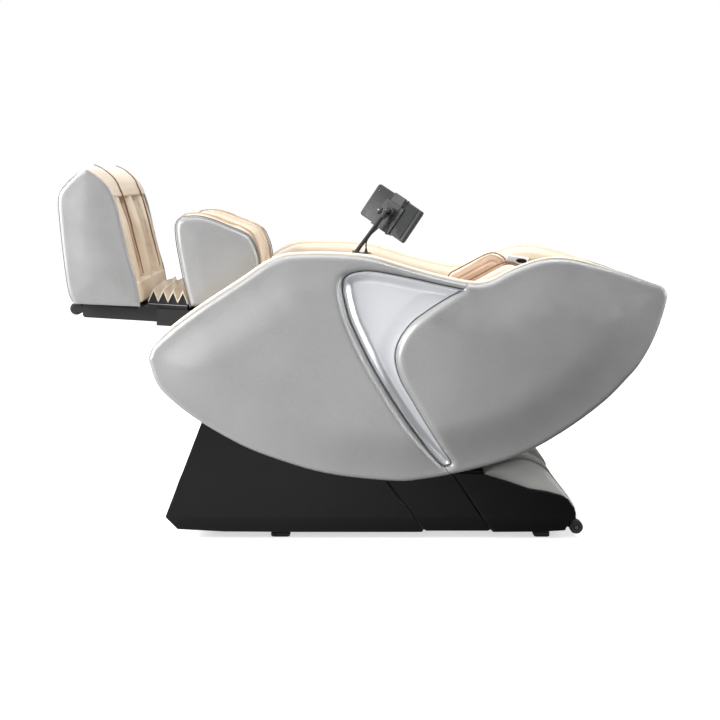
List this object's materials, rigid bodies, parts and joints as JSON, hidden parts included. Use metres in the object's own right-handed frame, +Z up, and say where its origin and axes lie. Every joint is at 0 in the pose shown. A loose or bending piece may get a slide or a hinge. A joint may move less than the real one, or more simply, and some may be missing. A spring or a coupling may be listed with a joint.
{
  "type": "massage chair",
  "caption": "Reclining zero-gravity massage chair with lens-shaped padded side shells, raised extending leg rest, tilting body on a black base and a clamped control tablet on a post.",
  "frame": {"origin": "on the floor, at the centre of the reclined chair's overall footprint, 20 mm ahead of the body tilt shaft", "axes": "+Z up, -Y to the feet and +Y to the head, +X to the occupant's left"},
  "size_m": [0.78, 1.8162, 1.133],
  "materials": {
    "grey_leatherette": "fine-textured satin leatherette",
    "silver_trim": "satin silver lacquer",
    "cream_leather": "soft satin leather",
    "tan_leather": "soft satin leather",
    "gloss_black": "high gloss",
    "grey_plastic": "satin",
    "matte_black": "fine matte",
    "rubber": "matte",
    "frame_steel": "powder coat",
    "motor_black": "moulded",
    "rod_chrome": "polished"
  },
  "bodies": {
    "base": {"base_frame": "frame_steel", "base_skirt_left": "gloss_black", "base_skirt_right": "gloss_black", "base_front_cover": "gloss_black", "rear_hood": "grey_plastic", "power_box": "matte_black", "foot_pad_front_left": "rubber", "foot_pad_front_right": "rubber", "foot_pad_rear_left": "rubber", "foot_pad_rear_right": "rubber"},
    "power_switch": {"power_rocker": "matte_black"},
    "wheel_left": {"rear_wheel_left": "rubber"},
    "wheel_right": {"rear_wheel_right": "rubber"},
    "tilt_motor": {"tilt_motor": "motor_black"},
    "tilt_rod": {"tilt_rod": "rod_chrome"},
    "seat": {"seat_frame": "frame_steel", "side_board_left": "frame_steel", "side_board_right": "frame_steel", "front_panel_left": "grey_leatherette", "front_panel_right": "grey_leatherette", "rear_panel_left": "grey_leatherette", "rear_panel_right": "grey_leatherette", "inlay_left": "silver_trim", "inlay_right": "silver_trim", "top_piping_left": "cream_leather", "top_piping_right": "cream_leather", "armrest_left": "cream_leather", "armrest_right": "cream_leather", "seat_cushion": "cream_leather", "tail_cover": "grey_leatherette", "keypad": "matte_black", "post_socket": "silver_trim"},
    "key": {"key_rocker": "silver_trim"},
    "post": {"tablet_post": "matte_black"},
    "cradle": {"tablet_cradle": "matte_black", "tablet": "matte_black"},
    "jaw": {"clamp_jaw": "matte_black"},
    "recline_motor": {"recline_motor": "motor_black"},
    "recline_rod": {"recline_rod": "rod_chrome"},
    "leg_motor": {"leg_motor": "motor_black"},
    "leg_rod": {"leg_rod": "rod_chrome"},
    "backrest": {"back_frame": "frame_steel", "back_shell": "grey_leatherette", "back_pad": "cream_leather", "shoulder_wing_left": "tan_leather", "shoulder_wing_right": "tan_leather"},
    "headrest": {"headrest": "cream_leather"},
    "carriage": {"massage_carriage": "frame_steel"},
    "arm_left": {"massage_arm_left": "matte_black"},
    "arm_right": {"massage_arm_right": "matte_black"},
    "legrest": {"leg_frame": "frame_steel", "calf_panel_left": "grey_leatherette", "calf_panel_right": "grey_leatherette", "calf_pad": "cream_leather", "bellows": "cream_leather"},
    "foot": {"foot_shell": "grey_leatherette", "foot_frame": "frame_steel", "foot_cushion": "cream_leather"},
    "glide": {"glide_roller": "rubber"},
    "sole": {"sole_roller": "tan_leather"}
  },
  "joints": [
    {"name": "body_tilt", "type": "hinge", "parent": "base", "child": "seat", "pos_m": [0, 0.02, 0.3], "axis": [1, 0, 0], "range_deg": [0, 26]},
    {"name": "back_recline", "type": "hinge", "parent": "seat", "child": "backrest", "pos_m": [0, 0.1962, 0.3943], "axis": [1, 0, 0], "range_deg": [0, 22]},
    {"name": "legrest_lift", "type": "hinge", "parent": "seat", "child": "legrest", "pos_m": [0, -0.3, 0.7], "axis": [1, 0, 0], "range_deg": [0, 36]},
    {"name": "foot_extension", "type": "slide", "parent": "legrest", "child": "foot", "axis": [0, 0.9981, -0.061], "range_m": [0, 0.13], "deforming": ["bellows"]},
    {"name": "headrest_flip", "type": "hinge", "parent": "backrest", "child": "headrest", "pos_m": [0, 0.7816, 0.73638], "axis": [1, 0, 0], "range_deg": [-70, 0]},
    {"name": "carriage_travel", "type": "slide", "parent": "backrest", "child": "carriage", "axis": [0, 0.9426, 0.3338], "range_m": [0, 0.34]},
    {"name": "knead_left", "type": "hinge", "parent": "carriage", "child": "arm_left", "pos_m": [0.041, 0.34877, 0.47277], "axis": [1, 0, 0], "range_deg": [-8, 8]},
    {"name": "knead_right", "type": "hinge", "parent": "carriage", "child": "arm_right", "pos_m": [-0.041, 0.34877, 0.47277], "axis": [1, 0, 0], "range_deg": [-8, 8]},
    {"name": "tilt_motor_swing", "type": "hinge", "parent": "base", "child": "tilt_motor", "pos_m": [0, -0.42, 0.078], "axis": [1, 0, 0], "range_deg": [-5, 0]},
    {"name": "tilt_stroke", "type": "slide", "parent": "tilt_motor", "child": "tilt_rod", "axis": [0, 0.4339, 0.901], "range_m": [-0.1295, 0]},
    {"name": "recline_motor_swing", "type": "hinge", "parent": "seat", "child": "recline_motor", "pos_m": [-0.1, -0.1, 0.4], "axis": [1, 0, 0], "range_deg": [0, 4.6]},
    {"name": "recline_stroke", "type": "slide", "parent": "recline_motor", "child": "recline_rod", "axis": [0, 0.9471, -0.3209], "range_m": [0, 0.0305]},
    {"name": "leg_motor_swing", "type": "hinge", "parent": "seat", "child": "leg_motor", "pos_m": [0.1, -0.1, 0.4], "axis": [1, 0, 0], "range_deg": [-7.4, 0]},
    {"name": "leg_stroke", "type": "slide", "parent": "leg_motor", "child": "leg_rod", "axis": [0, -0.7581, 0.6521], "range_m": [-0.0475, 0]},
    {"name": "post_swivel", "type": "hinge", "parent": "seat", "child": "post", "pos_m": [0.312, -0.012, 0.882], "axis": [0, 0, 1], "range_deg": [-45, 45]},
    {"name": "tablet_tilt", "type": "hinge", "parent": "post", "child": "cradle", "pos_m": [0.318, 0.08, 1.011], "axis": [1, 0, 0], "range_deg": [-15, 15]},
    {"name": "jaw_slide", "type": "slide", "parent": "cradle", "child": "jaw", "axis": [0, 0.5519, 0.8339], "range_m": [0, 0.018]},
    {"name": "key_rock", "type": "hinge", "parent": "seat", "child": "key", "pos_m": [0.2595, -0.065, 0.82], "axis": [0, 0, 1], "range_deg": [-3, 3]},
    {"name": "power_switch_rock", "type": "hinge", "parent": "base", "child": "power_switch", "pos_m": [0.03, 0.6618, 0.068], "axis": [1, 0, 0], "range_deg": [-10, 10]},
    {"name": "wheel_left_spin", "type": "hinge", "parent": "base", "child": "wheel_left", "pos_m": [0.301, 0.67, 0.037], "axis": [1, 0, 0], "continuous": true},
    {"name": "wheel_right_spin", "type": "hinge", "parent": "base", "child": "wheel_right", "pos_m": [-0.301, 0.67, 0.037], "axis": [1, 0, 0], "continuous": true},
    {"name": "glide_roller_spin", "type": "hinge", "parent": "foot", "child": "glide", "pos_m": [0, -0.88, 0.705], "axis": [1, 0, 0], "continuous": true},
    {"name": "sole_roller_spin", "type": "hinge", "parent": "foot", "child": "sole", "pos_m": [0, -0.838, 0.835], "axis": [1, 0, 0], "continuous": true}
  ],
  "couplings": [
    {"joint": "knead_right", "follows": "knead_left", "ratio": -1},
    {"joint": "tilt_motor_swing", "follows": "body_tilt", "ratio": -0.19125},
    {"joint": "tilt_stroke", "follows": "body_tilt", "m_per_rad": -0.28397},
    {"joint": "recline_motor_swing", "follows": "back_recline", "ratio": 0.20647},
    {"joint": "recline_stroke", "follows": "back_recline", "m_per_rad": 0.078536},
    {"joint": "leg_motor_swing", "follows": "legrest_lift", "ratio": -0.20331},
    {"joint": "leg_stroke", "follows": "legrest_lift", "m_per_rad": -0.075259}
  ]
}
